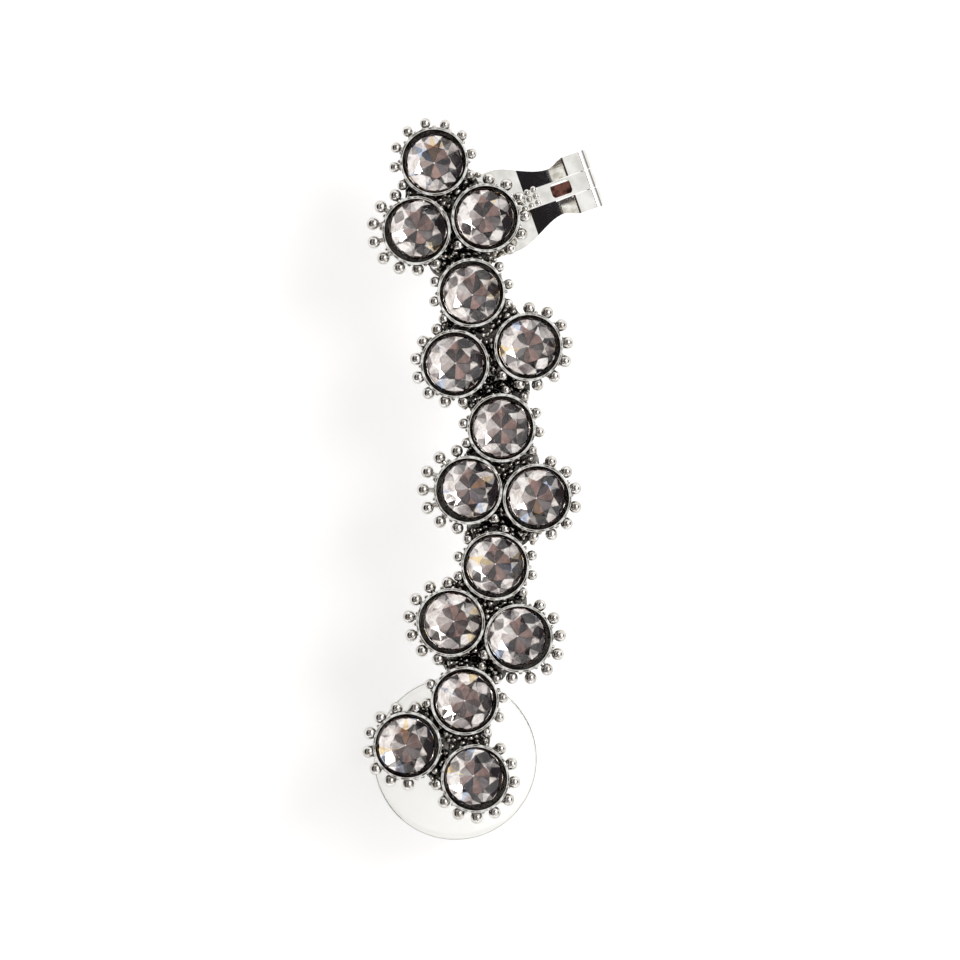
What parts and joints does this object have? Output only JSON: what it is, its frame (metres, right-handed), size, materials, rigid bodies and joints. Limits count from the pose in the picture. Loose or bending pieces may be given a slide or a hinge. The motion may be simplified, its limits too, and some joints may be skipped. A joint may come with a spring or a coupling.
{
  "type": "ear climber",
  "caption": "Curved ear climber of beaded stone clusters, with a lobe post and clear disc clutch, and a hinged paddle clip for the upper ear.",
  "frame": {"origin": "root of the ear post, where its axis meets the flat back plane of the castings", "axes": "+Z out of the face of the stones, +Y up the ear from the lobe to the clip, +X towards the outer edge of the ear; the post points along -Z"},
  "size_m": [0.0176, 0.0528, 0.0133],
  "materials": {
    "plated_casting": "bright rhodium plate over cast white metal, polished",
    "plated_strip": "bright plate over rolled strip",
    "plated_wire": "bright plate over drawn wire and turned shell",
    "spring_strip": "unplated bronze spring strip, slightly browned",
    "foiled_crystal": "clear cut glass with a silvered back",
    "clear_plastic": "clear moulded plastic",
    "soft_core": "translucent soft plastic"
  },
  "bodies": {
    "climber": {"casting_1": "plated_casting", "casting_2": "plated_casting", "casting_3": "plated_casting", "casting_4": "plated_casting", "casting_5": "plated_casting", "link_plate_1": "plated_casting", "link_plate_2": "plated_casting", "link_plate_3": "plated_casting", "link_plate_4": "plated_casting", "stone_01": "foiled_crystal", "stone_02": "foiled_crystal", "stone_03": "foiled_crystal", "stone_04": "foiled_crystal", "stone_05": "foiled_crystal", "stone_06": "foiled_crystal", "stone_07": "foiled_crystal", "stone_08": "foiled_crystal", "stone_09": "foiled_crystal", "stone_10": "foiled_crystal", "stone_11": "foiled_crystal", "stone_12": "foiled_crystal", "stone_13": "foiled_crystal", "stone_14": "foiled_crystal", "stone_15": "foiled_crystal", "ear_post": "plated_wire", "clip_stem": "plated_strip"},
    "clutch": {"clutch_core": "soft_core"},
    "clutch_shell": {"clutch_barrel": "plated_wire", "clutch_disc": "clear_plastic"},
    "paddle": {"clip_paddle": "plated_strip", "clip_tongue": "spring_strip", "hinge_pin": "plated_wire"}
  },
  "joints": [
    {"name": "clutch_slide", "type": "slide", "parent": "climber", "child": "clutch", "axis": [0, 0, -1], "range_m": [-0.0022, 0.014]},
    {"name": "clutch_spin", "type": "hinge", "parent": "clutch", "child": "clutch_shell", "pos_m": [0, 0, -0.0075], "axis": [0, 0, 1], "continuous": true},
    {"name": "paddle_hinge", "type": "hinge", "parent": "climber", "child": "paddle", "pos_m": [0.00957, 0.04234, 0.00045], "axis": [0.3338, -0.9426, 0], "range_deg": [0, 75]}
  ]
}
